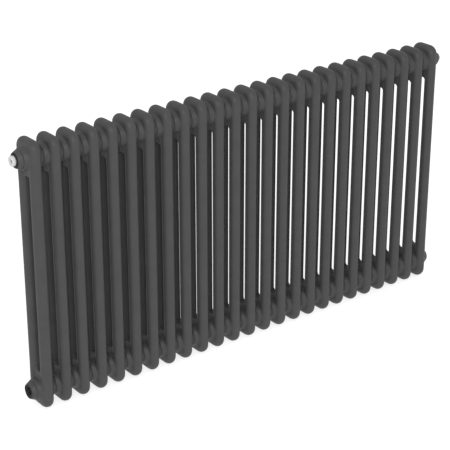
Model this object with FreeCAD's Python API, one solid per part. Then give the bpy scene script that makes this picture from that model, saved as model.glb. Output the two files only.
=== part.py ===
import FreeCAD, Part
import math
import os

# Two-column steel tube radiator with an air vent valve. Millimetres, +Z up.
# Origin: middle of the base. +X runs along the row of sections, the front faces -Y.
# Each section is two hollow heads joined by a front tube and a rear tube, with a threaded
# collar welded into each side of each head.
# Threads are smooth cylinders: a hole at its minor diameter, its mate 0.05 mm smaller.

# Driving dimensions
SECTION_COUNT = 25
PITCH = 45.0
HEIGHT = 600.0
TUBE_RADIUS = 12.5
TUBE_WALL = 1.25
ROW_SPACING = 44.0
FIT = 0.05

# Head: a tube bent over the top, with a round hub across it and a collar in each hub face.
# The rims of the hub curve inwards from its plain middle to the seam, on through the collars.
HEAD_WALL = 1.6
HEAD_BEND_RADIUS = 8.0
HEAD_DEPTH = 86.0
HUB_INSET = 40.0
HUB_RADIUS = 24.5
HUB_PLAIN_HALF = 14.0
HUB_CROWN_RADIUS = 12.0
COLLAR_FLANGE_LENGTH = 2.0
COLLAR_NECK_RADIUS = 19.0
COLLAR_NECK_LENGTH = 7.0
WEB_HALF_THICKNESS = 7.5
CROTCH_INSET = 81.0
CROTCH_CORNER = 4.0

# Joints between sections: G1 threads, a flat gasket in every joint
JOINT_GASKET = 0.8
JOINT_GASKET_RADIUS = 20.6
HUB_BORE_RADIUS = 16.65
NIPPLE_HALF_LENGTH = 12.0
NIPPLE_BORE_RADIUS = 13.2
NIPPLE_LUG_WIDTH = 4.0
NIPPLE_LUG_HEIGHT = 1.6

# Reducing bushings, G1 outside to G1/2 inside
BUSHING_FLANGE_LENGTH = 10.6
BUSHING_ROOT_RADIUS = 19.5
BUSHING_ROOT_LENGTH = 3.2
BUSHING_FACE_RADIUS = 16.2
BUSHING_FACE_ROUND = 0.8
BUSHING_SHANK_LENGTH = 8.0
BUSHING_BORE_RADIUS = 9.32
BUSHING_SEAT_RADIUS = 14.3
BUSHING_SEAT_DEPTH = 1.6

# Plugs for the upper bushings: the air vent body and the blanking plug
PLUG_HEAD_RADIUS = 10.9
PLUG_HEAD_LENGTH = 6.7
PLUG_HEAD_ROUND = 0.9
PLUG_STAND_OFF = 1.2
PLUG_NECK_RADIUS = 10.4
PLUG_SHANK_LENGTH = 12.0
PLUG_SOCKET_FLATS = 9.6
PLUG_SOCKET_DEPTH = 4.2
CUT_MARGIN = 1.0
O_RING_CENTRE_RADIUS = 12.3
O_RING_SECTION_RADIUS = 1.6

# Air vent spindle: M6 x 1 screw with a square head and a soft pad that shuts on a seat
SPINDLE_RADIUS = 3.0
SPINDLE_TIP_RADIUS = 2.2
SPINDLE_THREAD_LENGTH = 8.5
SPINDLE_SQUARE = 5.0
SPINDLE_SQUARE_LENGTH = 3.2
SPINDLE_SQUARE_SUNK = 0.5
SPINDLE_TIP_LENGTH = 1.8
SPINDLE_GROOVE = 1.2
SEAT_PAD_LENGTH = 1.2
SEAT_PORT_RADIUS = 1.2
CHAMBER_RADIUS = 3.6
CHAMBER_LENGTH = 4.6
DRAIN_RADIUS = 0.9

HALF_ROW = ROW_SPACING / 2
HUB_END = PITCH / 2 - JOINT_GASKET / 2
HUB_FACE = HUB_END - COLLAR_FLANGE_LENGTH
FIRST_SECTION_X = -(SECTION_COUNT - 1) / 2 * PITCH
ROW_END_X = -FIRST_SECTION_X + PITCH / 2
TOP_HUB_Z = HEIGHT - HUB_INSET
BOTTOM_HUB_Z = HUB_INSET
BUSHING_FACE_X = BUSHING_FLANGE_LENGTH
SEAT_X = BUSHING_FACE_X - BUSHING_SEAT_DEPTH
PLUG_HEAD_X = BUSHING_FACE_X + PLUG_STAND_OFF
PLUG_FACE_X = PLUG_HEAD_X + PLUG_HEAD_LENGTH
SOCKET_FLOOR_X = PLUG_FACE_X - PLUG_SOCKET_DEPTH

X_AXIS = FreeCAD.Vector(1, 0, 0)
Y_AXIS = FreeCAD.Vector(0, 1, 0)
Z_AXIS = FreeCAD.Vector(0, 0, 1)
ORIGIN = FreeCAD.Vector(0, 0, 0)


def rod_x(radius, start, end):
    """Solid cylinder along X from start to end, on the X axis."""
    return Part.makeCylinder(radius, end - start, FreeCAD.Vector(start, 0, 0), X_AXIS)


def turned(profile):
    """Solid turned about the X axis from a list of (x, radius) points."""
    points = [FreeCAD.Vector(x, 0, radius) for x, radius in profile]
    outline = Part.makePolygon(points + points[:1])
    return Part.Face(outline).revolve(ORIGIN, X_AXIS, 360)


def rounded(solid, radius, x, edge_radius):
    """Round the circular edge of the given radius that lies in the plane at x."""
    edges = []
    for edge in solid.Edges:
        if isinstance(edge.Curve, Part.Circle):
            same_size = abs(edge.Curve.Radius - edge_radius) < 1e-4
            same_place = abs(edge.Curve.Center.x - x) < 1e-4
            if same_size and same_place:
                edges.append(edge)
    return solid.makeFillet(radius, edges)


def crowned_hub(inset, start, end):
    """Stretch of the round hub along X, from start to end, drawn in by inset."""
    radius = HUB_RADIUS - inset
    crown = HUB_CROWN_RADIUS - inset
    full_half = HUB_PLAIN_HALF + crown
    hub = rod_x(radius, -full_half, full_half)
    for side in (-full_half, full_half):
        hub = rounded(hub, crown, side, radius)
    return hub.common(rod_x(2 * radius, start, end))


def bend_corner(radius):
    """Outer part of the bend between the front leg and the top, turned about its axis."""
    bend_y = HEAD_BEND_RADIUS - HALF_ROW
    bend_z = -TUBE_RADIUS - HEAD_BEND_RADIUS
    axis_point = FreeCAD.Vector(0, bend_y, bend_z)
    disc = Part.Face(Part.Wire(Part.makeCircle(radius, FreeCAD.Vector(0, -HALF_ROW, bend_z), Z_AXIS)))
    reach = HEAD_BEND_RADIUS + radius
    outer_corner = FreeCAD.Vector(-radius, bend_y - reach, bend_z)
    outer_side = Part.makePlane(2 * radius, reach, outer_corner)
    return disc.common(outer_side).revolve(axis_point, X_AXIS, -90)


def bent_tube(radius):
    """Tube outline bent over from the front leg to the rear leg of a top head."""
    bend_z = -TUBE_RADIUS - HEAD_BEND_RADIUS
    straight_half = HALF_ROW - HEAD_BEND_RADIUS
    leg_length = HEAD_DEPTH + bend_z
    front_corner = bend_corner(radius)
    rear_corner = front_corner.mirror(ORIGIN, FreeCAD.Vector(0, 1, 0))
    front_leg = Part.makeCylinder(radius, leg_length, FreeCAD.Vector(0, -HALF_ROW, -HEAD_DEPTH), Z_AXIS)
    rear_leg = Part.makeCylinder(radius, leg_length, FreeCAD.Vector(0, HALF_ROW, -HEAD_DEPTH), Z_AXIS)
    top_start = FreeCAD.Vector(0, -straight_half, -TUBE_RADIUS)
    top = Part.makeCylinder(radius, 2 * straight_half, top_start, Y_AXIS)
    return top.fuse([front_corner, rear_corner, front_leg, rear_leg])


def is_top_edge_along_x(edge, top):
    """Whether an edge of a box lies along X at the height of the box's top."""
    ends = [vertex.Point for vertex in edge.Vertexes]
    at_top = all(abs(end.z - top) < 1e-6 for end in ends)
    return at_top and abs(ends[0].y - ends[1].y) < 1e-6


def head_volume(inset):
    """Head outline drawn in by inset, with its crest at z = 0."""
    tube = bent_tube(TUBE_RADIUS - inset)
    hub = crowned_hub(inset, inset - HUB_FACE, HUB_FACE - inset)
    hub.translate(FreeCAD.Vector(0, 0, -HUB_INSET))
    web_half = WEB_HALF_THICKNESS - inset
    web_low = -HEAD_DEPTH
    web_height = HEAD_DEPTH - HUB_INSET
    web_corner = FreeCAD.Vector(-web_half, -HALF_ROW, web_low)
    web = Part.makeBox(2 * web_half, ROW_SPACING, web_height, web_corner)
    slot_half = HALF_ROW - TUBE_RADIUS + inset
    slot_top = inset - CROTCH_INSET
    slot_corner = FreeCAD.Vector(-PITCH, -slot_half, slot_top - HEAD_DEPTH)
    slot = Part.makeBox(2 * PITCH, 2 * slot_half, HEAD_DEPTH, slot_corner)
    top_edges = [edge for edge in slot.Edges if is_top_edge_along_x(edge, slot_top)]
    slot = slot.makeFillet(CROTCH_CORNER + inset, top_edges)
    return tube.fuse([hub, web.cut(slot)])


def head():
    """Hollow head, open at both legs and at both hub faces, crest at z = 0."""
    opening = rod_x(COLLAR_NECK_RADIUS, -PITCH, PITCH)
    opening.translate(FreeCAD.Vector(0, 0, -HUB_INSET))
    return head_volume(0).cut([head_volume(HEAD_WALL), opening]).removeSplitter()


def collar():
    """Threaded collar of the right-hand hub face, on the X axis."""
    flange = crowned_hub(0, HUB_FACE, HUB_END)
    neck_start = HUB_FACE - COLLAR_NECK_LENGTH
    neck = rod_x(COLLAR_NECK_RADIUS - FIT, neck_start, HUB_FACE)
    bore = rod_x(HUB_BORE_RADIUS, neck_start, HUB_END)
    return flange.fuse(neck).cut(bore).removeSplitter()


def tube(y):
    """Upright tube between the two heads of a section."""
    length = HEIGHT - 2 * HEAD_DEPTH
    base = FreeCAD.Vector(0, y, HEAD_DEPTH)
    outside = Part.makeCylinder(TUBE_RADIUS, length, base, Z_AXIS)
    inside = Part.makeCylinder(TUBE_RADIUS - TUBE_WALL, length, base, Z_AXIS)
    return outside.cut(inside)


def section():
    """One section: two heads, two tubes and four collars that meet face to face."""
    top_head = head()
    bottom_head = top_head.copy()
    bottom_head.rotate(ORIGIN, X_AXIS, 180)
    top_head.translate(FreeCAD.Vector(0, 0, HEIGHT))
    right_collar = collar()
    left_collar = right_collar.copy()
    left_collar.rotate(ORIGIN, Z_AXIS, 180)
    collars = [placed(one, 0, z) for one in (left_collar, right_collar) for z in (TOP_HUB_Z, BOTTOM_HUB_Z)]
    return Part.makeCompound([top_head, bottom_head, tube(-HALF_ROW), tube(HALF_ROW)] + collars)


def nipple():
    """Threaded nipple that pulls two sections together, with two lugs for its key."""
    outside = rod_x(HUB_BORE_RADIUS - FIT, -NIPPLE_HALF_LENGTH, NIPPLE_HALF_LENGTH)
    shell = outside.cut(rod_x(NIPPLE_BORE_RADIUS, -NIPPLE_HALF_LENGTH, NIPPLE_HALF_LENGTH))
    lugs = []
    for side in (-1, 1):
        inner = NIPPLE_BORE_RADIUS - NIPPLE_LUG_HEIGHT
        outer = NIPPLE_BORE_RADIUS + NIPPLE_LUG_HEIGHT
        low = min(side * inner, side * outer)
        corner = FreeCAD.Vector(-NIPPLE_HALF_LENGTH, -NIPPLE_LUG_WIDTH / 2, low)
        lugs.append(Part.makeBox(2 * NIPPLE_HALF_LENGTH, NIPPLE_LUG_WIDTH, outer - inner, corner))
    return shell.fuse(lugs).removeSplitter()


def joint_gasket():
    """Flat gasket squeezed between the faces of two hubs."""
    half = JOINT_GASKET / 2
    return rod_x(JOINT_GASKET_RADIUS, -half, half).cut(rod_x(HUB_BORE_RADIUS, -half, half))


def bushing():
    """Reducing bushing. x = 0 is the gasket's outer face, +x points out of the radiator."""
    return turned([
        (-JOINT_GASKET / 2 - BUSHING_SHANK_LENGTH, BUSHING_BORE_RADIUS),
        (-JOINT_GASKET / 2 - BUSHING_SHANK_LENGTH, HUB_BORE_RADIUS - FIT),
        (0, HUB_BORE_RADIUS - FIT),
        (0, BUSHING_ROOT_RADIUS),
        (BUSHING_ROOT_LENGTH, BUSHING_ROOT_RADIUS),
        (BUSHING_FACE_X - BUSHING_FACE_ROUND, BUSHING_FACE_RADIUS),
        (BUSHING_FACE_X, BUSHING_FACE_RADIUS - BUSHING_FACE_ROUND),
        (BUSHING_FACE_X, BUSHING_SEAT_RADIUS),
        (SEAT_X, BUSHING_SEAT_RADIUS),
        (SEAT_X, BUSHING_BORE_RADIUS),
    ])


def bushing_gasket():
    """Flat gasket between the end hub and a bushing's flange."""
    outer = BUSHING_ROOT_RADIUS
    return rod_x(outer, -JOINT_GASKET / 2, 0).cut(rod_x(HUB_BORE_RADIUS, -JOINT_GASKET / 2, 0))


def o_ring():
    """O-ring in the seat of a bushing, round the plug's neck."""
    centre = FreeCAD.Vector(SEAT_X + O_RING_SECTION_RADIUS, 0, 0)
    return Part.makeTorus(O_RING_CENTRE_RADIUS, O_RING_SECTION_RADIUS, centre, X_AXIS)


def hexagon(flats, start, end):
    """Hexagonal prism along X."""
    corner_radius = flats / math.sqrt(3)
    points = []
    for step in range(7):
        angle = math.radians(60 * step)
        y = corner_radius * math.cos(angle)
        z = corner_radius * math.sin(angle)
        points.append(FreeCAD.Vector(start, y, z))
    return Part.Face(Part.makePolygon(points)).extrude(FreeCAD.Vector(end - start, 0, 0))


def plug_blank():
    """Outside shape shared by the air vent body and the blanking plug."""
    blank = rod_x(PLUG_HEAD_RADIUS, PLUG_HEAD_X, PLUG_FACE_X)
    blank = rounded(blank, PLUG_HEAD_ROUND, PLUG_FACE_X, PLUG_HEAD_RADIUS)
    neck = rod_x(PLUG_NECK_RADIUS, SEAT_X, PLUG_HEAD_X)
    shank = rod_x(BUSHING_BORE_RADIUS - FIT, SEAT_X - PLUG_SHANK_LENGTH, SEAT_X)
    socket = hexagon(PLUG_SOCKET_FLATS, SOCKET_FLOOR_X, PLUG_FACE_X + CUT_MARGIN)
    return blank.fuse([neck, shank]).cut(socket).removeSplitter()


def blanking_plug():
    """Plug that closes the upper port away from the air vent."""
    return plug_blank()


def air_vent_body():
    """Plug with a threaded bore, a valve chamber, a seat port and a drain hole."""
    bore_end = SOCKET_FLOOR_X - SPINDLE_THREAD_LENGTH
    chamber_end = bore_end - CHAMBER_LENGTH
    bore = rod_x(SPINDLE_RADIUS + FIT, bore_end, SOCKET_FLOOR_X)
    chamber = rod_x(CHAMBER_RADIUS, chamber_end, bore_end)
    port = rod_x(SEAT_PORT_RADIUS, SEAT_X - PLUG_SHANK_LENGTH, chamber_end)
    drain_x = (PLUG_HEAD_X + SOCKET_FLOOR_X) / 2
    drain_top = FreeCAD.Vector(drain_x, 0, -SPINDLE_RADIUS)
    drain = Part.makeCylinder(DRAIN_RADIUS, PLUG_HEAD_RADIUS, drain_top, -Z_AXIS)
    return plug_blank().cut([bore, chamber, port, drain])


def chamber_floor_x():
    """Where the seat pad rests when the air vent is shut."""
    return SOCKET_FLOOR_X - SPINDLE_THREAD_LENGTH - CHAMBER_LENGTH


def air_vent_pad():
    """Soft pad that shuts on the seat port."""
    start = chamber_floor_x()
    return rod_x(SPINDLE_TIP_RADIUS, start, start + SEAT_PAD_LENGTH)


def air_vent_spindle():
    """Screw with a square head for the bleed key and a groove that lets air out."""
    pad_end = chamber_floor_x() + SEAT_PAD_LENGTH
    tip_end = pad_end + SPINDLE_TIP_LENGTH
    square_start = SOCKET_FLOOR_X - SPINDLE_SQUARE_SUNK
    tip = rod_x(SPINDLE_TIP_RADIUS, pad_end, tip_end)
    screw = rod_x(SPINDLE_RADIUS, tip_end, square_start)
    half = SPINDLE_SQUARE / 2
    corner = FreeCAD.Vector(square_start, -half, -half)
    square = Part.makeBox(SPINDLE_SQUARE_LENGTH, SPINDLE_SQUARE, SPINDLE_SQUARE, corner)
    turned_head = rod_x(SPINDLE_RADIUS, square_start, square_start + SPINDLE_SQUARE_LENGTH)
    groove_corner = FreeCAD.Vector(tip_end, -SPINDLE_GROOVE / 2, -SPINDLE_RADIUS - CUT_MARGIN)
    groove_depth = SPINDLE_GROOVE + CUT_MARGIN
    groove = Part.makeBox(square_start - tip_end, SPINDLE_GROOVE, groove_depth, groove_corner)
    return tip.fuse([screw, square.common(turned_head)]).cut(groove).removeSplitter()


def placed(shape, x, z):
    """Copy of a shape moved to x, z."""
    copy = shape.copy()
    copy.translate(FreeCAD.Vector(x, 0, z))
    return copy


def at_end(shape, right, z):
    """Copy of an end fitting on the right or left end of the row at height z."""
    copy = shape.copy()
    if not right:
        copy.rotate(ORIGIN, Z_AXIS, 180)
    side = 1 if right else -1
    copy.translate(FreeCAD.Vector(side * ROW_END_X, 0, z))
    return copy


def export(shape, node):
    """Write one node to its STEP file."""
    shape.exportStep("parts/" + node + ".step")


def export_sections():
    one = section()
    for index in range(SECTION_COUNT):
        x = FIRST_SECTION_X + index * PITCH
        export(placed(one, x, 0), "section_{:02d}".format(index + 1))


def export_joints(level, z):
    one_nipple = nipple()
    one_gasket = joint_gasket()
    joint_xs = [FIRST_SECTION_X + (index + 0.5) * PITCH for index in range(SECTION_COUNT - 1)]
    nipples = [placed(one_nipple, x, z) for x in joint_xs]
    gaskets = [placed(one_gasket, x, z) for x in joint_xs]
    export(Part.makeCompound(nipples), level + "_joining_nipples")
    export(Part.makeCompound(gaskets), level + "_joint_gaskets")


def export_bushings(level, z):
    for side, right in (("left", False), ("right", True)):
        export(at_end(bushing(), right, z), level + "_" + side + "_bushing")
        export(at_end(bushing_gasket(), right, z), level + "_" + side + "_bushing_gasket")


def export_plugs():
    z = TOP_HUB_Z
    export(at_end(air_vent_body(), False, z), "air_vent_body")
    export(at_end(o_ring(), False, z), "air_vent_o_ring")
    export(at_end(air_vent_spindle(), False, z), "air_vent_spindle")
    export(at_end(air_vent_pad(), False, z), "air_vent_seat_pad")
    export(at_end(blanking_plug(), True, z), "blanking_plug")
    export(at_end(o_ring(), True, z), "blanking_plug_o_ring")


os.makedirs("parts", exist_ok=True)
export_sections()
for level_name, level_z in (("top", TOP_HUB_Z), ("bottom", BOTTOM_HUB_Z)):
    export_joints(level_name, level_z)
    export_bushings(level_name, level_z)
export_plugs()
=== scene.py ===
import math

import bmesh
import bpy
from mathutils import Matrix, Vector


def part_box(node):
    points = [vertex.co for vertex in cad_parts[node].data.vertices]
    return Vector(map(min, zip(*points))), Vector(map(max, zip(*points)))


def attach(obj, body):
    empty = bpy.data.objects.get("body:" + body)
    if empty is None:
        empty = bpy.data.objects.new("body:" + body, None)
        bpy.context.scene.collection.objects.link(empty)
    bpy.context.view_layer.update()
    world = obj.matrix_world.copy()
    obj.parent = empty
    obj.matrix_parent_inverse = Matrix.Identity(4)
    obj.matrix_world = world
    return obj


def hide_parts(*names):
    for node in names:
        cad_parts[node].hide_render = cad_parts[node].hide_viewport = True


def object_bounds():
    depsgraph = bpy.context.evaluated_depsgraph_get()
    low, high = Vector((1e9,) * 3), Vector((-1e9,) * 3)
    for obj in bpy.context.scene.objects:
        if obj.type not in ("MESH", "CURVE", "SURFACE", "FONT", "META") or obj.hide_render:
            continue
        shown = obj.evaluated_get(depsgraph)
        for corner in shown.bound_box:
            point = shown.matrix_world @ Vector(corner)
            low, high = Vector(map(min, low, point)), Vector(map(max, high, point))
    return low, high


bl_info = {
    "name": "Two-column radiator",
    "version": (1, 0, 0),
    "blender": (4, 5, 0),
    "location": "View3D > Sidebar > Radiator",
    "description": "Builds a steel column radiator with its air vent round a packed frame",
    "category": "Object",
}

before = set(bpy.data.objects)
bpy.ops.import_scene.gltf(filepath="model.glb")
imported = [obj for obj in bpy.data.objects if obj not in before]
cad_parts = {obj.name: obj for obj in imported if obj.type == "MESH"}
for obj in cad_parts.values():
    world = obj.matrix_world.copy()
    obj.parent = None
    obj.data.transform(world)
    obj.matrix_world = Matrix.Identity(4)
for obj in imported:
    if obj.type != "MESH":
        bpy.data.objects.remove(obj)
CAD_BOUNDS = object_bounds()

# Metres, +X along the row, the front faces -Y. Parts that are turned are drawn about the
# X axis with +X pointing out of the right-hand end, and are then moved to their place.
MM = 0.001
X_AXIS = Vector((1, 0, 0))


def node_centre(node):
    """Middle of a node's box."""
    low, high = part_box(node)
    return (low + high) / 2


SECTION_NODES = sorted(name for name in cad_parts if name.startswith("section_"))
SECTION_LOW, SECTION_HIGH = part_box(SECTION_NODES[0])
HEIGHT = SECTION_HIGH.z - SECTION_LOW.z
DEPTH = SECTION_HIGH.y - SECTION_LOW.y
HUB_END = (SECTION_HIGH.x - SECTION_LOW.x) / 2
ROW_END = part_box("top_right_bushing_gasket")[1].x
TOP_HUB_Z = node_centre("top_left_bushing").z
BOTTOM_HUB_Z = node_centre("bottom_left_bushing").z


class RadiatorSizes(bpy.types.PropertyGroup):
    """Sizes of the painted steelwork."""

    tube_radius: bpy.props.FloatProperty(
        name="Tube radius", description="Outside radius of the upright tubes",
        default=12.5 * MM, min=5 * MM, unit="LENGTH")
    bend_radius: bpy.props.FloatProperty(
        name="Bend radius", description="Centreline radius of the bends over the top of a head",
        default=8 * MM, min=5 * MM, unit="LENGTH")
    leg_length: bpy.props.FloatProperty(
        name="Leg length", description="From the crest of a head to its weld with the tubes",
        default=86 * MM, min=50 * MM, unit="LENGTH")
    hub_radius: bpy.props.FloatProperty(
        name="Hub radius", description="Radius of the plain middle of the round hub across a head",
        default=24.5 * MM, min=10 * MM, unit="LENGTH")
    hub_plain_half: bpy.props.FloatProperty(
        name="Hub plain half", description="From the middle of a head to where its hub curves in",
        default=14 * MM, min=5 * MM, unit="LENGTH")
    hub_crown_radius: bpy.props.FloatProperty(
        name="Hub crown radius", description="Radius of the curve from the hub to the seam",
        default=12 * MM, min=5 * MM, unit="LENGTH")
    bore_radius: bpy.props.FloatProperty(
        name="Bore radius", description="Radius of the waterway through the hubs",
        default=16.65 * MM, min=5 * MM, unit="LENGTH")
    web_half_thickness: bpy.props.FloatProperty(
        name="Web half thickness", description="Half the thickness of the web between the legs",
        default=7.5 * MM, min=1 * MM, unit="LENGTH")
    crotch_inset: bpy.props.FloatProperty(
        name="Crotch inset", description="From the crest of a head to the gap between its legs",
        default=81 * MM, min=40 * MM, unit="LENGTH")
    grain: bpy.props.FloatProperty(
        name="Mesh grain", description="Size of the mesh on the blended heads",
        default=1.6 * MM, min=0.8 * MM, unit="LENGTH")


def length_property(label, words, millimetres):
    """Length setting with its default in millimetres."""
    return bpy.props.FloatProperty(name=label, description=words, default=millimetres * MM, min=0,
                                   unit="LENGTH", precision=4)


class FittingSizes(bpy.types.PropertyGroup):
    """Sizes of the bushings, plugs and air vent."""

    bore_radius: length_property("Hub bore", "Radius of the threaded bore of a hub", 16.6)
    bushing_length: length_property("Bushing length", "From the end gasket to a bushing's face", 10.6)
    bushing_root_radius: length_property("Bushing root", "Radius of a bushing at the gasket", 20.8)
    bushing_face_radius: length_property("Bushing face", "Radius of a bushing at its face", 16.2)
    bushing_shank: length_property("Bushing shank", "Threaded length inside the hub", 8.4)
    port_radius: length_property("Port radius", "Minor radius of the threaded port", 9.32)
    seat_radius: length_property("Seat radius", "Radius of the recess for an O-ring", 14.3)
    seat_depth: length_property("Seat depth", "Depth of the recess for an O-ring", 1.6)
    plug_radius: length_property("Plug radius", "Radius of a plug's head", 10.9)
    plug_face: length_property("Plug face", "From the end gasket to a plug's face", 18.5)
    plug_stand_off: length_property("Plug stand-off", "From a bushing's face to a plug's head", 1.2)
    plug_neck_radius: length_property("Plug neck", "Radius of a plug inside its O-ring", 10.4)
    plug_shank: length_property("Plug shank", "Threaded length of a plug", 12)
    socket_flats: length_property("Socket", "Hexagon socket across its flats", 9.6)
    socket_depth: length_property("Socket depth", "Depth of the hexagon socket", 4.2)
    o_ring_radius: length_property("O-ring radius", "Centreline radius of an O-ring", 12.3)
    o_ring_section: length_property("O-ring section", "Radius of an O-ring's section", 1.6)
    spindle_radius: length_property("Spindle radius", "Radius of the vent spindle's thread", 3)
    square_flats: length_property("Square", "Spindle square across its flats", 5)
    square_length: length_property("Square length", "Length of the spindle square", 3.2)


class FinishColours(bpy.types.PropertyGroup):
    """Colours of the finishes."""

    paint: bpy.props.FloatVectorProperty(
        name="Paint", description="Anthracite powder coat", subtype="COLOR",
        size=3, min=0, max=1, default=(0.075, 0.075, 0.076))
    iron: bpy.props.FloatVectorProperty(
        name="Bare iron", description="Uncoated threads and sealing faces", subtype="COLOR",
        size=3, min=0, max=1, default=(0.018, 0.018, 0.019))
    chrome: bpy.props.FloatVectorProperty(
        name="Chrome", description="Bright plating of the plugs", subtype="COLOR",
        size=3, min=0, max=1, default=(0.30, 0.30, 0.31))
    brass: bpy.props.FloatVectorProperty(
        name="Brass", description="Spindle of the air vent", subtype="COLOR",
        size=3, min=0, max=1, default=(0.52, 0.38, 0.18))
    rubber: bpy.props.FloatVectorProperty(
        name="Rubber", description="O-rings and the seat pad", subtype="COLOR",
        size=3, min=0, max=1, default=(0.008, 0.008, 0.008))
    gasket: bpy.props.FloatVectorProperty(
        name="Gasket", description="Flat fibre gaskets", subtype="COLOR",
        size=3, min=0, max=1, default=(0.045, 0.045, 0.046))


class StageSettings(bpy.types.PropertyGroup):
    """Camera, light and floor."""

    camera_place: bpy.props.FloatVectorProperty(
        name="Camera place", description="Where the camera stands", subtype="TRANSLATION",
        unit="LENGTH", size=3, default=(-1.8431, -2.3723, 1.5805))
    camera_turn: bpy.props.FloatProperty(
        name="Camera turn", description="How far the camera turns right from +Y", subtype="ANGLE",
        default=math.radians(37.005))
    camera_tilt: bpy.props.FloatProperty(
        name="Camera tilt", description="How far the camera looks down", subtype="ANGLE",
        default=math.radians(23.536))
    lens: bpy.props.FloatProperty(
        name="Lens", description="Focal length in millimetres on a 36 mm sensor", default=116.05)
    key_power: bpy.props.FloatProperty(
        name="Key light", description="Power of the broad light beside the camera in watts",
        default=47, min=0)
    sky: bpy.props.FloatProperty(
        name="Sky", description="Strength of the light from all round", default=0.79, min=0)


# Materials

class Nodes:
    """Small helper that adds nodes to a material and links them."""

    def __init__(self, name):
        self.material = bpy.data.materials.new(name)
        self.material.use_nodes = True
        self.tree = self.material.node_tree
        self.shader = self.tree.nodes["Principled BSDF"]
        self.place = self.add("ShaderNodeTexCoord").outputs["Object"]

    def add(self, kind, **settings):
        node = self.tree.nodes.new(kind)
        for key, value in settings.items():
            setattr(node, key, value)
        return node

    def link(self, output, socket):
        self.tree.links.new(output, socket)

    def noise(self, scale, detail=2.0, stretch=None):
        """Noise on Object coordinates; scale is in features per metre."""
        node = self.add("ShaderNodeTexNoise")
        node.inputs["Scale"].default_value = scale
        node.inputs["Detail"].default_value = detail
        place = self.place
        if stretch:
            mapping = self.add("ShaderNodeMapping")
            mapping.inputs["Scale"].default_value = stretch
            self.link(place, mapping.inputs["Vector"])
            place = mapping.outputs["Vector"]
        self.link(place, node.inputs["Vector"])
        return node.outputs["Fac"]

    def spread(self, value, low, high):
        """Map noise, which stays near its middle, to the range from low to high."""
        node = self.add("ShaderNodeMapRange")
        node.inputs["From Min"].default_value = 0.3
        node.inputs["From Max"].default_value = 0.7
        node.inputs["To Min"].default_value = low
        node.inputs["To Max"].default_value = high
        self.link(value, node.inputs["Value"])
        return node.outputs["Result"]

    def shade(self, value, colour, darker, lighter):
        """Base colour that varies from darker to lighter times the colour."""
        ramp = self.add("ShaderNodeMix", data_type="RGBA")
        ramp.inputs["A"].default_value = [channel * darker for channel in colour] + [1]
        ramp.inputs["B"].default_value = [min(channel * lighter, 1) for channel in colour] + [1]
        self.link(self.spread(value, 0, 1), ramp.inputs["Factor"])
        self.link(ramp.outputs["Result"], self.shader.inputs["Base Color"])

    def roughen(self, value, low, high):
        self.link(self.spread(value, low, high), self.shader.inputs["Roughness"])

    def bump(self, layers):
        """Chain of bumps; each layer is a value and its height in metres."""
        normal = None
        for value, height in layers:
            node = self.add("ShaderNodeBump")
            node.inputs["Distance"].default_value = height
            self.link(value, node.inputs["Height"])
            if normal:
                self.link(normal, node.inputs["Normal"])
            normal = node.outputs["Normal"]
        self.link(normal, self.shader.inputs["Normal"])


def powder_coat(colours):
    """Satin powder coat: faint orange peel, fine grain and slightly uneven gloss."""
    nodes = Nodes("anthracite_powder_coat")
    peel = nodes.noise(520, 3)
    grain = nodes.noise(2600, 2)
    nodes.shade(nodes.noise(38, 5), colours.paint, 0.94, 1.06)
    nodes.roughen(nodes.noise(90, 4), 0.42, 0.50)
    nodes.bump([(peel, 0.05 * MM), (grain, 0.012 * MM)])
    nodes.shader.inputs["Specular IOR Level"].default_value = 0.3
    return nodes.material


def blackened_iron(colours):
    """Uncoated iron with the grooves of a turning tool and a dark oxide."""
    nodes = Nodes("blackened_iron")
    grooves = nodes.noise(1500, 2, (1, 0.2, 0.2))
    nodes.shade(nodes.noise(240, 5), colours.iron, 0.6, 1.5)
    nodes.roughen(nodes.noise(420, 4), 0.42, 0.68)
    nodes.bump([(grooves, 0.06 * MM), (nodes.noise(2400, 3), 0.03 * MM)])
    nodes.shader.inputs["Metallic"].default_value = 0.35
    return nodes.material


def chrome_plate(colours):
    """Bright chrome with faint polishing lines."""
    nodes = Nodes("chrome_plate")
    lines = nodes.noise(900, 3, (0.25, 3, 3))
    nodes.shade(nodes.noise(160, 3), colours.chrome, 0.93, 1.04)
    nodes.roughen(nodes.noise(300, 4), 0.05, 0.13)
    nodes.bump([(lines, 0.004 * MM)])
    nodes.shader.inputs["Metallic"].default_value = 1
    return nodes.material


def vent_brass(colours):
    """Turned brass, dulled a little by water."""
    nodes = Nodes("vent_brass")
    nodes.shade(nodes.noise(700, 5), colours.brass, 0.65, 1.15)
    nodes.roughen(nodes.noise(900, 4), 0.24, 0.45)
    nodes.bump([(nodes.noise(2500, 3, (3, 0.6, 0.6)), 0.01 * MM)])
    nodes.shader.inputs["Metallic"].default_value = 1
    return nodes.material


def black_rubber(colours):
    """Moulded rubber with a dull skin."""
    nodes = Nodes("black_rubber")
    nodes.shade(nodes.noise(500, 4), colours.rubber, 0.7, 1.5)
    nodes.roughen(nodes.noise(800, 3), 0.5, 0.7)
    nodes.bump([(nodes.noise(2200, 3), 0.02 * MM)])
    return nodes.material


def flat_gasket(colours):
    """Pressed graphite fibre."""
    nodes = Nodes("fibre_gasket")
    nodes.shade(nodes.noise(900, 5, (1, 1, 0.2)), colours.gasket, 0.6, 1.6)
    nodes.roughen(nodes.noise(700, 3), 0.6, 0.85)
    nodes.bump([(nodes.noise(1800, 4, (1, 1, 0.25)), 0.03 * MM)])
    return nodes.material


FINISHES = {
    "painted_steel": powder_coat,
    "bare_iron": blackened_iron,
    "chrome_plate": chrome_plate,
    "vent_brass": vent_brass,
    "black_rubber": black_rubber,
    "flat_gasket": flat_gasket,
}
made_finishes = {}


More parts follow.
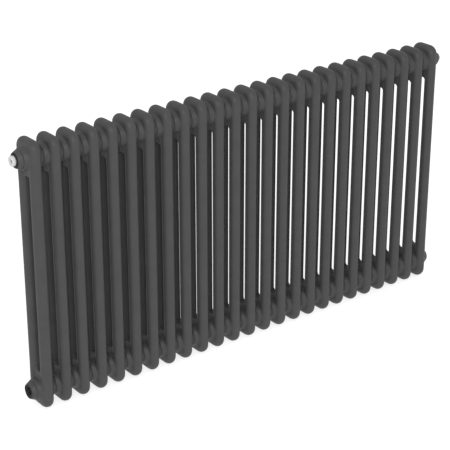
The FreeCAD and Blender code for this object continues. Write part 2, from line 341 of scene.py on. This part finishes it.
def finish_for(slot):
    """Material of a slot, made once."""
    if slot not in made_finishes:
        made_finishes[slot] = FINISHES[slot](bpy.context.scene.radiator_colours)
    return made_finishes[slot]


# Mesh helpers

TURN_STEPS = 64
RING_STEPS = 48
MERGE = 0.002 * MM
PICK = 5 * MERGE


def turned(bm, profile, closed=True, steps=TURN_STEPS):
    """Surface turned about the X axis from (x, radius) points."""
    points = [bm.verts.new((x, 0, radius)) for x, radius in profile]
    pairs = list(zip(points, points[1:]))
    if closed:
        pairs.append((points[-1], points[0]))
    edges = [bm.edges.new(pair) for pair in pairs]
    bmesh.ops.spin(bm, geom=points + edges, cent=(0, 0, 0), axis=X_AXIS,
                   angle=2 * math.pi, steps=steps, use_merge=True)


def arc(centre, radius, start, end, count):
    """Points of (x, radius) on a rounded corner; angles in degrees from +x towards +r."""
    points = []
    for step in range(count + 1):
        angle = math.radians(start + (end - start) * step / count)
        points.append((centre[0] + radius * math.cos(angle), centre[1] + radius * math.sin(angle)))
    return points


def soften(bm, width, angle=30, segments=3):
    """Round every edge that is sharper than the angle."""
    sharp = [edge for edge in bm.edges
             if edge.is_manifold and edge.calc_face_angle(0) > math.radians(angle)]
    bmesh.ops.bevel(bm, geom=sharp, offset=width, offset_type="OFFSET", segments=segments,
                    profile=0.5, affect="EDGES", material=-1, clamp_overlap=True)


def open_loop(bm, near):
    """Boundary edges whose two ends pass the test near."""
    return [edge for edge in bm.edges
            if edge.is_boundary and all(near(vert.co) for vert in edge.verts)]


def tidy_normals(bm):
    """Merge doubled points and turn the faces outwards."""
    bmesh.ops.remove_doubles(bm, verts=bm.verts, dist=MERGE)
    bmesh.ops.recalc_face_normals(bm, faces=bm.faces)


def new_object(name, bm):
    """Object at the origin with the bmesh as its smooth-shaded mesh."""
    mesh = bpy.data.meshes.new(name)
    bm.to_mesh(mesh)
    bm.free()
    mesh.shade_smooth()
    piece = bpy.data.objects.new(name, mesh)
    bpy.context.scene.collection.objects.link(piece)
    return piece


def finish_piece(piece, node, slot, body="root"):
    """Give a piece its finish and its body, and hide the CAD node that it takes the place of."""
    if not piece.data.materials:
        piece.data.materials.append(finish_for(slot))
    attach(piece, body)
    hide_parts(node)


def dress_node(node, slot):
    """Give a CAD node that keeps its own shape its finish."""
    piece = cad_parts[node]
    for holder in piece.material_slots:
        holder.material = finish_for(slot)


# Painted steelwork

# Passes and strength of the smoothing that blends a head.
HEAD_SMOOTHING = 14
SMOOTHING_FACTOR = 0.5
BEND_STEPS = 12
HUB_STEPS = 96
CROTCH_CORNER = 4 * MM
# The blended skin is cut off here, and turned rings carry on from it after the step.
HUB_CUT = 17 * MM
CUT_STEP = 0.6 * MM
LEG_CUT = 3 * MM


def swept_arch(bm, sizes, swell):
    """Closed tube that goes up one leg, over the top and down the other leg."""
    row = DEPTH / 2 - sizes.tube_radius
    bend = sizes.bend_radius
    corner_z = -sizes.tube_radius - bend
    leg = sizes.leg_length + corner_z
    start = Matrix.Translation((0, -row, -sizes.leg_length))
    ring = bmesh.ops.create_circle(bm, segments=RING_STEPS, radius=sizes.tube_radius + swell,
                                   matrix=start, cap_ends=True)
    front = list({face for vert in ring["verts"] for face in vert.link_faces})

    def extrude(faces, move):
        made = bmesh.ops.extrude_face_region(bm, geom=faces)["geom"]
        verts = [item for item in made if isinstance(item, bmesh.types.BMVert)]
        bmesh.ops.translate(bm, verts=verts, vec=move)
        return [item for item in made if isinstance(item, bmesh.types.BMFace)]

    def bend_over(faces, centre_y):
        made = bmesh.ops.spin(bm, geom=faces, cent=(0, centre_y, corner_z), axis=X_AXIS,
                              angle=-math.pi / 2, steps=BEND_STEPS)["geom_last"]
        return [item for item in made if isinstance(item, bmesh.types.BMFace)]

    front = extrude(front, (0, 0, leg))
    front = bend_over(front, -row + bend)
    front = extrude(front, (0, 2 * (row - bend), 0))
    front = bend_over(front, row - bend)
    extrude(front, (0, 0, -leg))


def crown_points(sizes, start_x, end_x, swell=0, steps=6):
    """Points of (x, radius) on the curve that leads from the hub to the seam."""
    crown = sizes.hub_crown_radius
    centre = (sizes.hub_plain_half, sizes.hub_radius - crown)
    start, end = (math.degrees(math.acos((x - centre[0]) / crown)) for x in (start_x, end_x))
    return arc(centre, crown + swell, start, end, steps)


def hub_barrel(bm, sizes, swell):
    """Solid hub across the head; its ends are cut off and shaped later."""
    right = crown_points(sizes, sizes.hub_plain_half, HUB_END, swell)
    left = [(-x, radius) for x, radius in reversed(right)]
    hub = bmesh.new()
    outline = [(left[0][0], 0)] + left + right + [(right[-1][0], 0)]
    turned(hub, outline, closed=False, steps=HUB_STEPS)
    bmesh.ops.translate(hub, verts=hub.verts, vec=(0, 0, TOP_HUB_Z - HEIGHT))
    add_mesh(bm, hub)


def leg_web(bm, sizes):
    """Web between the legs under the hub, with rounded corners at the gap below it."""
    row = DEPTH / 2 - sizes.tube_radius
    gap = row - sizes.tube_radius
    corner = CROTCH_CORNER
    top = TOP_HUB_Z - HEIGHT
    ceiling = -sizes.crotch_inset
    outline = [(row, ceiling - corner), (row, top), (-row, top), (-row, ceiling - corner)]
    outline += arc((corner - gap, ceiling - corner), corner, 180, 90, 4)
    outline += arc((gap - corner, ceiling - corner), corner, 90, 0, 4)
    side = sizes.web_half_thickness
    face = bm.faces.new([bm.verts.new((-side, y, z)) for y, z in outline])
    made = bmesh.ops.extrude_face_region(bm, geom=[face], use_keep_orig=True)["geom"]
    moved = [item for item in made if isinstance(item, bmesh.types.BMVert)]
    bmesh.ops.translate(bm, verts=moved, vec=(2 * side, 0, 0))


def blended_head(sizes):
    """Outer skin of a head as one smooth blended surface, crest at z = 0."""
    grain = sizes.grain * 1
    # Smoothing pulls a curved skin in by about this area over its radius.
    shrink = HEAD_SMOOTHING * SMOOTHING_FACTOR * grain ** 2 / 4
    bm = bmesh.new()
    swept_arch(bm, sizes, shrink / sizes.tube_radius)
    hub_barrel(bm, sizes, shrink / sizes.hub_radius)
    leg_web(bm, sizes)
    tidy_normals(bm)
    blank = new_object("head_blank", bm)
    remesh = blank.modifiers.new("blend", "REMESH")
    remesh.mode = "VOXEL"
    remesh.voxel_size = grain
    smooth = blank.modifiers.new("smooth", "SMOOTH")
    smooth.factor = SMOOTHING_FACTOR
    smooth.iterations = HEAD_SMOOTHING
    evaluated = blank.evaluated_get(bpy.context.evaluated_depsgraph_get())
    bm = bmesh.new()
    bm.from_mesh(evaluated.to_mesh())
    evaluated.to_mesh_clear()
    bpy.data.objects.remove(blank)
    return bm


def bisect(bm, point, normal):
    """Cut the mesh at a plane and drop what lies on the side that the normal points to."""
    geom = list(bm.verts) + list(bm.edges) + list(bm.faces)
    bmesh.ops.bisect_plane(bm, geom=geom, dist=PICK, plane_co=point, plane_no=normal,
                           clear_outer=True)


def hub_face_profile(sizes):
    """From the cut in the hub's side over its crown and its face to the waterway."""
    edge = 0.3 * MM
    lip = 0.6 * MM
    seam = crown_points(sizes, HUB_CUT + CUT_STEP, HUB_END - edge)
    face_radius = seam[-1][1] - edge
    return seam + [(HUB_END, face_radius), (HUB_END, sizes.bore_radius + lip),
                   (HUB_END - lip, sizes.bore_radius)]


def build_section_half(sizes):
    """Top half of a section: head, hub faces, waterway and the tubes down to mid height."""
    bm = blended_head(sizes)
    hub_z = TOP_HUB_Z - HEIGHT
    row = DEPTH / 2 - sizes.tube_radius
    weld_z = -sizes.leg_length
    for side in (-1, 1):
        bisect(bm, (side * HUB_CUT, 0, 0), (side, 0, 0))
    bisect(bm, (0, 0, weld_z + LEG_CUT), (0, 0, -1))
    profile = hub_face_profile(sizes)
    for side in (-1, 1):
        rings = bmesh.new()
        turned(rings, profile, closed=False)
        bmesh.ops.translate(rings, verts=rings.verts, vec=(0, 0, hub_z))
        bmesh.ops.scale(rings, verts=rings.verts, vec=(side, 1, 1))
        add_mesh(bm, rings)
        cut = open_loop(bm, lambda co: abs(co.x - side * HUB_CUT) < PICK)
        rim_x = side * profile[0][0]
        rim = open_loop(bm, lambda co: abs(co.x - rim_x) < PICK)
        bmesh.ops.bridge_loops(bm, edges=cut + rim)
    bore_x = profile[-1][0]
    bores = open_loop(bm, lambda co: abs(abs(co.x) - bore_x) < PICK)
    bmesh.ops.bridge_loops(bm, edges=bores)
    for side in (-1, 1):
        add_tube(bm, sizes, side * row, weld_z)
    return bm


def add_mesh(bm, extra):
    """Copy another bmesh into bm."""
    holder = bpy.data.meshes.new("holder")
    extra.to_mesh(holder)
    extra.free()
    bm.from_mesh(holder)
    bpy.data.meshes.remove(holder)


def add_tube(bm, sizes, y, weld_z):
    """Tube from the weld to mid height, with a slight weld bead, joined to the leg above."""
    radius = sizes.tube_radius
    bead = 0.16 * MM
    half_bead = 0.9 * MM
    heights = [(weld_z + 2 * half_bead, 0), (weld_z + half_bead, 0.15), (weld_z, 1),
               (weld_z - half_bead, 0.15), (weld_z - 2 * half_bead, 0), (-HEIGHT / 2, 0)]
    tube = bmesh.new()
    outline = [(height, radius + bead * share) for height, share in heights]
    turned(tube, outline, closed=False, steps=RING_STEPS)
    upright = Matrix.Rotation(-math.pi / 2, 3, "Y")
    bmesh.ops.rotate(tube, verts=tube.verts, cent=(0, 0, 0), matrix=upright)
    bmesh.ops.translate(tube, verts=tube.verts, vec=(0, y, 0))
    add_mesh(bm, tube)

    def on_this_leg(co, z):
        return abs(co.z - z) < PICK and abs(co.y - y) < 1.5 * radius

    top = heights[0][0]
    cut = open_loop(bm, lambda co: on_this_leg(co, weld_z + LEG_CUT))
    rim = open_loop(bm, lambda co: on_this_leg(co, top))
    bmesh.ops.bridge_loops(bm, edges=cut + rim)


def section_mesh(sizes):
    """Whole section about x = 0, standing on z = 0."""
    bm = build_section_half(sizes)
    bmesh.ops.translate(bm, verts=bm.verts, vec=(0, 0, HEIGHT / 2))
    geom = list(bm.verts) + list(bm.edges) + list(bm.faces)
    bmesh.ops.mirror(bm, geom=geom, axis="Z", merge_dist=MERGE)
    bmesh.ops.translate(bm, verts=bm.verts, vec=(0, 0, HEIGHT / 2))
    tidy_normals(bm)
    return bm


class RADIATOR_OT_sections(bpy.types.Operator):
    """Build the painted column sections"""

    bl_idname = "radiator.sections"
    bl_label = "Column sections"

    def execute(self, context):
        whole = section_mesh(context.scene.radiator_sizes)
        for node in SECTION_NODES:
            bm = whole.copy()
            bmesh.ops.translate(bm, verts=bm.verts, vec=(node_centre(node).x, 0, SECTION_LOW.z))
            finish_piece(new_object("column_" + node, bm), node, "painted_steel")
        whole.free()
        return {"FINISHED"}


# Fittings, drawn with x = 0 in the outer face of the end gasket and +X out of the radiator

def place_at_end(bm, right, z):
    """Move a fitting to the right or left end of the row at height z."""
    if not right:
        bmesh.ops.rotate(bm, verts=bm.verts, cent=(0, 0, 0), matrix=Matrix.Rotation(math.pi, 3, "Z"))
    bmesh.ops.translate(bm, verts=bm.verts, vec=(ROW_END if right else -ROW_END, 0, z))


def loop_at(bm, x):
    """Boundary edges that lie in the plane at x."""
    return open_loop(bm, lambda co: abs(co.x - x) < PICK)


def helical_thread(start, end, minor, major, pitch):
    """Open surface of an inside thread between two planes."""
    bm = bmesh.new()
    crest, root = 0.18 * pitch, 0.62 * pitch
    turns = math.ceil((end - start) / pitch) + 2
    outline = []
    for turn in range(turns):
        base = start + (turn - 1) * pitch
        outline += [(base, minor), (base + crest, minor),
                    (base + pitch / 2, major), (base + root, major)]
    points = [bm.verts.new((x, 0, radius)) for x, radius in outline]
    edges = [bm.edges.new(pair) for pair in zip(points, points[1:])]
    bmesh.ops.spin(bm, geom=points + edges, cent=(0, 0, 0), axis=X_AXIS,
                   dvec=(pitch / RING_STEPS, 0, 0), angle=2 * math.pi, steps=RING_STEPS)
    bmesh.ops.remove_doubles(bm, verts=bm.verts, dist=MERGE)
    bisect(bm, (start, 0, 0), (-1, 0, 0))
    bisect(bm, (end, 0, 0), (1, 0, 0))
    return bm


PORT_THREAD_DEPTH = 1.16 * MM
PORT_THREAD_PITCH = 1.814 * MM


def bushing_mesh(sizes):
    """Tapered reducing bushing with a seat for an O-ring and a threaded port."""
    face, shank = sizes.bushing_length, -sizes.bushing_shank
    seat = face - sizes.seat_depth
    chamfer = 0.9 * MM
    lead = 0.6 * MM
    land = 1.2 * MM
    edge_length, edge_inset = 0.4 * MM, 0.5 * MM
    wide, narrow = sizes.bushing_root_radius, sizes.bushing_face_radius
    waist = (5.5 * MM, 0.58 * wide + 0.42 * narrow)
    outer = [(shank, sizes.port_radius + chamfer), (shank, sizes.bore_radius - lead),
             (shank + lead, sizes.bore_radius), (0, sizes.bore_radius), (0, wide)]
    outer += [(land, wide), waist, (face - edge_length, narrow)]
    outer += [(face, narrow - edge_inset), (face, sizes.seat_radius), (seat, sizes.seat_radius),
              (seat, sizes.port_radius + chamfer)]
    bm = bmesh.new()
    turned(bm, outer, closed=False)
    soften(bm, 0.25 * MM)
    thread = helical_thread(shank + chamfer, seat - chamfer, sizes.port_radius,
                            sizes.port_radius + PORT_THREAD_DEPTH, PORT_THREAD_PITCH)
    add_mesh(bm, thread)
    bmesh.ops.bridge_loops(bm, edges=loop_at(bm, seat) + loop_at(bm, seat - chamfer))
    bmesh.ops.bridge_loops(bm, edges=loop_at(bm, shank) + loop_at(bm, shank + chamfer))
    tidy_normals(bm)
    # The end face and everything inside the seat are bare iron.
    bare = face - 0.3 * MM
    for patch in bm.faces:
        centre = patch.calc_center_median()
        inside = math.hypot(centre.y, centre.z) < sizes.seat_radius + 0.1 * MM
        patch.material_index = 1 if inside or centre.x > bare else 0
    return bm


class RADIATOR_OT_bushings(bpy.types.Operator):
    """Build the four reducing bushings in the ends of the headers"""

    bl_idname = "radiator.bushings"
    bl_label = "Bushings"

    def execute(self, context):
        for level, z in (("top", TOP_HUB_Z), ("bottom", BOTTOM_HUB_Z)):
            for side in ("left", "right"):
                node = level + "_" + side + "_bushing"
                bm = bushing_mesh(context.scene.radiator_fittings)
                place_at_end(bm, side == "right", z)
                piece = new_object("reducing_" + node, bm)
                piece.data.materials.append(finish_for("painted_steel"))
                piece.data.materials.append(finish_for("bare_iron"))
                finish_piece(piece, node, "painted_steel")
                dress_node(node + "_gasket", "flat_gasket")
        return {"FINISHED"}


class RADIATOR_OT_joints(bpy.types.Operator):
    """Finish the nipples and the flat gaskets between the sections"""

    bl_idname = "radiator.joints"
    bl_label = "Nipples and joint gaskets"

    def execute(self, context):
        for level in ("top", "bottom"):
            dress_node(level + "_joining_nipples", "bare_iron")
            dress_node(level + "_joint_gaskets", "flat_gasket")
        return {"FINISHED"}


def hexagon_loop(bm, flats, x):
    """Hexagon in the plane at x, with as many edges as a ring has."""
    turn = Matrix.Translation((x, 0, 0)) @ Matrix.Rotation(math.pi / 2, 4, "Y")
    made = bmesh.ops.create_circle(bm, segments=6, radius=flats / math.sqrt(3), matrix=turn)
    edges = list({edge for vert in made["verts"] for edge in vert.link_edges})
    split = bmesh.ops.subdivide_edges(bm, edges=edges, cuts=RING_STEPS // 6 - 1)["geom_split"]
    return [item for item in split if isinstance(item, bmesh.types.BMEdge)]


def drawn_out(bm, loop, x, scale=1):
    """Draw a loop out to the plane at x and return the new loop."""
    made = bmesh.ops.extrude_edge_only(bm, edges=loop)["geom"]
    verts = [item for item in made if isinstance(item, bmesh.types.BMVert)]
    bmesh.ops.scale(bm, verts=verts, vec=(1, scale, scale))
    bmesh.ops.translate(bm, verts=verts, vec=(x - verts[0].co.x, 0, 0))
    ends = set(verts)
    return [item for item in made
            if isinstance(item, bmesh.types.BMEdge) and ends.issuperset(item.verts)]


# Inside of the air vent body: port, chamber and spindle hole.
VENT_PORT = 1.2 * MM
CHAMBER_RADIUS = 3.6 * MM
CHAMBER_START = 1.2 * MM
CHAMBER_END = 5.8 * MM
SPINDLE_HOLE = 3.05 * MM
SPINDLE_LEAD = 0.3 * MM


def plug_mesh(sizes, bored):
    """Round plug with a hexagon socket; the air vent's is bored for its spindle."""
    face = sizes.plug_face
    floor = face - sizes.socket_depth
    seat = sizes.bushing_length - sizes.seat_depth
    head = sizes.bushing_length + sizes.plug_stand_off
    shank = seat - sizes.plug_shank
    radius, flats = sizes.plug_radius, sizes.socket_flats
    rim = 0.45 * MM
    corner = 0.9 * MM
    chamfer = 0.3 * MM
    lead = 0.5 * MM
    thread = sizes.port_radius - 0.05 * MM
    face_ring = 0.76 * radius
    outline = [(face, face_ring)] + arc((face - corner, radius - corner), corner, 0, 90, 6)
    outline += [(head + chamfer, radius), (head, radius - chamfer), (head, sizes.plug_neck_radius),
                (seat, sizes.plug_neck_radius), (seat, thread), (shank + lead, thread),
                (shank, thread - lead)]
    if bored:
        outline += [(shank, VENT_PORT), (CHAMBER_START, VENT_PORT),
                    (CHAMBER_START, CHAMBER_RADIUS), (CHAMBER_END, CHAMBER_RADIUS),
                    (CHAMBER_END, SPINDLE_HOLE), (floor - SPINDLE_LEAD, SPINDLE_HOLE),
                    (floor, SPINDLE_HOLE + SPINDLE_LEAD)]
    else:
        outline += [(shank, 0)]
    bm = bmesh.new()
    turned(bm, outline, closed=False, steps=RING_STEPS)
    bmesh.ops.remove_doubles(bm, verts=bm.verts, dist=MERGE)
    ring = loop_at(bm, face)
    bore = loop_at(bm, floor)
    mouth = hexagon_loop(bm, flats + 2 * rim, face)
    bmesh.ops.bridge_loops(bm, edges=ring + mouth)
    walls = drawn_out(bm, mouth, face - rim, flats / (flats + 2 * rim))
    foot = drawn_out(bm, walls, floor)
    if bored:
        bmesh.ops.bridge_loops(bm, edges=foot + bore)
    else:
        bmesh.ops.edgeloop_fill(bm, edges=foot)
    tidy_normals(bm)
    return bm


def o_ring_mesh(sizes):
    """Round ring in the seat of a bushing."""
    section = sizes.o_ring_section
    centre = (sizes.bushing_length - sizes.seat_depth + section, sizes.o_ring_radius)
    bm = bmesh.new()
    sides = 20
    turned(bm, arc(centre, section, 0, 360 - 360 / sides, sides - 1), steps=72)
    tidy_normals(bm)
    return bm


def spindle_mesh(sizes):
    """Screw with a square head; its thread is a row of ridges on a plain core."""
    floor = sizes.plug_face - sizes.socket_depth
    radius, pitch = sizes.spindle_radius, 1 * MM
    tip, start, end = 2.4 * MM, 4.2 * MM, floor - 0.5 * MM
    nose, core = 2.2 * MM, 0.86 * radius
    outline = [(tip, 0), (tip, 2.0 * MM), (2.6 * MM, nose), (start, nose)]
    # Each ridge rises, holds its crest and falls within one pitch.
    for turn in range(int((end - start) / pitch)):
        base = start + turn * pitch
        outline += [(base + 0.15 * pitch, core), (base + 0.45 * pitch, radius),
                    (base + 0.6 * pitch, radius), (base + 0.9 * pitch, core)]
    outline += [(end, core), (end + 0.3 * MM, 0.7 * radius), (end + 0.3 * MM, 0)]
    bm = bmesh.new()
    turned(bm, outline, closed=False, steps=40)
    bmesh.ops.remove_doubles(bm, verts=bm.verts, dist=MERGE)
    length, corner = sizes.square_length, 0.75 * MM
    square = bmesh.new()
    middle = Matrix.Translation((end + length / 2, 0, 0))
    size = Matrix.Diagonal((length, sizes.square_flats, sizes.square_flats, 1))
    bmesh.ops.create_cube(square, size=1, matrix=middle @ size)
    corners = [edge for edge in square.edges
               if abs(edge.verts[0].co.x - edge.verts[1].co.x) > length / 2]
    bmesh.ops.bevel(square, geom=corners, offset=corner, offset_type="OFFSET", segments=4,
                    profile=0.5, affect="EDGES", material=-1, clamp_overlap=True)
    soften(square, 0.18 * MM, angle=50)
    add_mesh(bm, square)
    tidy_normals(bm)
    return bm


def drill(piece, radius, place, depth):
    """Cut a round hole downwards into a piece."""
    bm = bmesh.new()
    middle = Matrix.Translation(Vector(place) - Vector((0, 0, depth / 2)))
    bmesh.ops.create_cone(bm, cap_ends=True, segments=24, radius1=radius, radius2=radius,
                          depth=depth, matrix=middle)
    cutter = new_object("drill", bm)
    cut = piece.modifiers.new("drill", "BOOLEAN")
    cut.operation = "DIFFERENCE"
    cut.solver = "MANIFOLD"
    cut.object = cutter
    evaluated = piece.evaluated_get(bpy.context.evaluated_depsgraph_get())
    mesh = bpy.data.meshes.new_from_object(evaluated)
    piece.modifiers.clear()
    piece.data = mesh
    bpy.data.objects.remove(cutter)


# Hole in the underside of the air vent's head that lets air and water out.
DRAIN_INSET = 1.25 * MM
DRAIN_RADIUS = 0.9 * MM
DRAIN_DEPTH = 12 * MM


class RADIATOR_OT_air_vent(bpy.types.Operator):
    """Build the air vent valve: body, O-ring, spindle and seat pad"""

    bl_idname = "radiator.air_vent"
    bl_label = "Air vent valve"

    def execute(self, context):
        sizes = context.scene.radiator_fittings
        body = plug_mesh(sizes, bored=True)
        ring = o_ring_mesh(sizes)
        spindle = spindle_mesh(sizes)
        for bm in (body, ring, spindle):
            place_at_end(bm, False, TOP_HUB_Z)
        vent = new_object("air_vent_plug", body)
        drain_x = -ROW_END - (sizes.bushing_length + sizes.plug_stand_off + DRAIN_INSET)
        drain_top = (drain_x, 0, TOP_HUB_Z - sizes.spindle_radius)
        drill(vent, DRAIN_RADIUS, drain_top, DRAIN_DEPTH)
        finish_piece(vent, "air_vent_body", "chrome_plate")
        finish_piece(new_object("air_vent_sealing_ring", ring), "air_vent_o_ring", "black_rubber")
        screw = new_object("air_vent_screw", spindle)
        finish_piece(screw, "air_vent_spindle", "vent_brass", body="bleed_spindle")
        dress_node("air_vent_seat_pad", "black_rubber")
        return {"FINISHED"}


class RADIATOR_OT_blanking_plug(bpy.types.Operator):
    """Build the blanking plug and its O-ring"""

    bl_idname = "radiator.blanking_plug"
    bl_label = "Blanking plug"

    def execute(self, context):
        sizes = context.scene.radiator_fittings
        plug = plug_mesh(sizes, bored=False)
        ring = o_ring_mesh(sizes)
        for bm in (plug, ring):
            place_at_end(bm, True, TOP_HUB_Z)
        finish_piece(new_object("blind_plug", plug), "blanking_plug", "chrome_plate")
        finish_piece(new_object("blind_plug_sealing_ring", ring), "blanking_plug_o_ring", "black_rubber")
        return {"FINISHED"}


FLOOR_RADIUS = 14
FLOOR_GAP = 0.5 * MM
FLOOR_GLOW = 0.72
KEY_PLACE = (-2.125, -2.821, 2.178)
KEY_TARGET = (0, 0, 0.3)
KEY_SIZE = 2.4
# Sky below the horizon, above it, and how high the change between them reaches.
SKY_LOW = (1, 1, 1, 1)
SKY_HIGH = (0.82, 0.82, 0.83, 1)
SKY_BLEND = 0.15


class RADIATOR_OT_stage(bpy.types.Operator):
    """Add the floor, the lights and the camera"""

    bl_idname = "radiator.stage"
    bl_label = "Studio stage"

    def execute(self, context):
        stage = context.scene.radiator_stage
        add_floor()
        add_sky(stage.sky)
        add_area_light("front_key", KEY_PLACE, KEY_TARGET, KEY_SIZE, stage.key_power)
        add_camera(stage)
        context.scene.view_settings.view_transform = "Standard"
        return {"FINISHED"}


def add_floor():
    """Pale floor just under the radiator; it does not light or mirror in the paint."""
    bm = bmesh.new()
    bmesh.ops.create_circle(bm, cap_ends=True, segments=96, radius=FLOOR_RADIUS)
    bmesh.ops.translate(bm, verts=bm.verts, vec=(0, 0, CAD_BOUNDS[0][2] - FLOOR_GAP))
    floor = new_object("studio_floor", bm)
    floor.visible_diffuse = False
    floor.visible_glossy = False
    nodes = Nodes("studio_floor")
    nodes.shade(nodes.noise(0.8, 2), (0.6, 0.6, 0.6), 0.99, 1.0)
    nodes.shader.inputs["Emission Color"].default_value = (1, 1, 1, 1)
    nodes.shader.inputs["Emission Strength"].default_value = FLOOR_GLOW
    nodes.roughen(nodes.noise(6, 2), 0.75, 0.85)
    nodes.bump([(nodes.noise(60, 2), 0.05 * MM)])
    floor.data.materials.append(nodes.material)


def add_sky(strength):
    """Even light from all round, a little stronger from below, like light off a pale floor."""
    world = bpy.data.worlds.new("studio_sky")
    world.use_nodes = True
    tree = world.node_tree
    background = tree.nodes["Background"]
    place = tree.nodes.new("ShaderNodeTexCoord")
    split = tree.nodes.new("ShaderNodeSeparateXYZ")
    ramp = tree.nodes.new("ShaderNodeValToRGB")
    below, above = ramp.color_ramp.elements
    below.position = 0
    below.color = SKY_LOW
    above.position = SKY_BLEND
    above.color = SKY_HIGH
    tree.links.new(place.outputs["Generated"], split.inputs["Vector"])
    tree.links.new(split.outputs["Z"], ramp.inputs["Fac"])
    tree.links.new(ramp.outputs["Color"], background.inputs["Color"])
    background.inputs["Strength"].default_value = strength
    bpy.context.scene.world = world


def add_area_light(name, place, target, size, power):
    """Square light at a place, aimed at a target."""
    data = bpy.data.lights.new(name, "AREA")
    data.shape = "SQUARE"
    data.size = size
    data.energy = power
    light = bpy.data.objects.new(name, data)
    light.location = place
    aim = Vector(target) - Vector(place)
    light.rotation_euler = aim.to_track_quat("-Z", "Y").to_euler()
    bpy.context.scene.collection.objects.link(light)


def add_camera(stage):
    """Camera from the stage settings."""
    data = bpy.data.cameras.new("camera")
    data.lens = stage.lens
    data.sensor_width = 36
    data.clip_end = 60
    camera = bpy.data.objects.new("camera", data)
    camera.location = stage.camera_place
    camera.rotation_euler = (math.pi / 2 - stage.camera_tilt, 0, -stage.camera_turn)
    bpy.context.scene.collection.objects.link(camera)
    bpy.context.scene.camera = camera


OPERATORS = (
    RADIATOR_OT_sections,
    RADIATOR_OT_joints,
    RADIATOR_OT_bushings,
    RADIATOR_OT_air_vent,
    RADIATOR_OT_blanking_plug,
    RADIATOR_OT_stage,
)


class RADIATOR_PT_panel(bpy.types.Panel):
    """Sizes, colours and the steps that build the radiator"""

    bl_idname = "RADIATOR_PT_panel"
    bl_label = "Two-column radiator"
    bl_space_type = "VIEW_3D"
    bl_region_type = "UI"
    bl_category = "Radiator"

    def draw(self, context):
        scene = context.scene
        for group in SETTINGS:
            settings = getattr(scene, group)
            box = self.layout.box()
            for name in settings.bl_rna.properties.keys():
                if name not in {"rna_type", "name"}:
                    box.prop(settings, name)
        for operator in OPERATORS:
            self.layout.operator(operator.bl_idname)


SETTINGS = {
    "radiator_sizes": RadiatorSizes,
    "radiator_fittings": FittingSizes,
    "radiator_colours": FinishColours,
    "radiator_stage": StageSettings,
}


def register():
    for kind in (*SETTINGS.values(), *OPERATORS, RADIATOR_PT_panel):
        bpy.utils.register_class(kind)
    for name, kind in SETTINGS.items():
        setattr(bpy.types.Scene, name, bpy.props.PointerProperty(type=kind))


def unregister():
    for name in SETTINGS:
        delattr(bpy.types.Scene, name)
    for kind in reversed((*SETTINGS.values(), *OPERATORS, RADIATOR_PT_panel)):
        bpy.utils.unregister_class(kind)


def main():
    register()
    for operator in OPERATORS:
        group, name = operator.bl_idname.split(".")
        getattr(getattr(bpy.ops, group), name)()


if __name__ == "__main__":
    main()
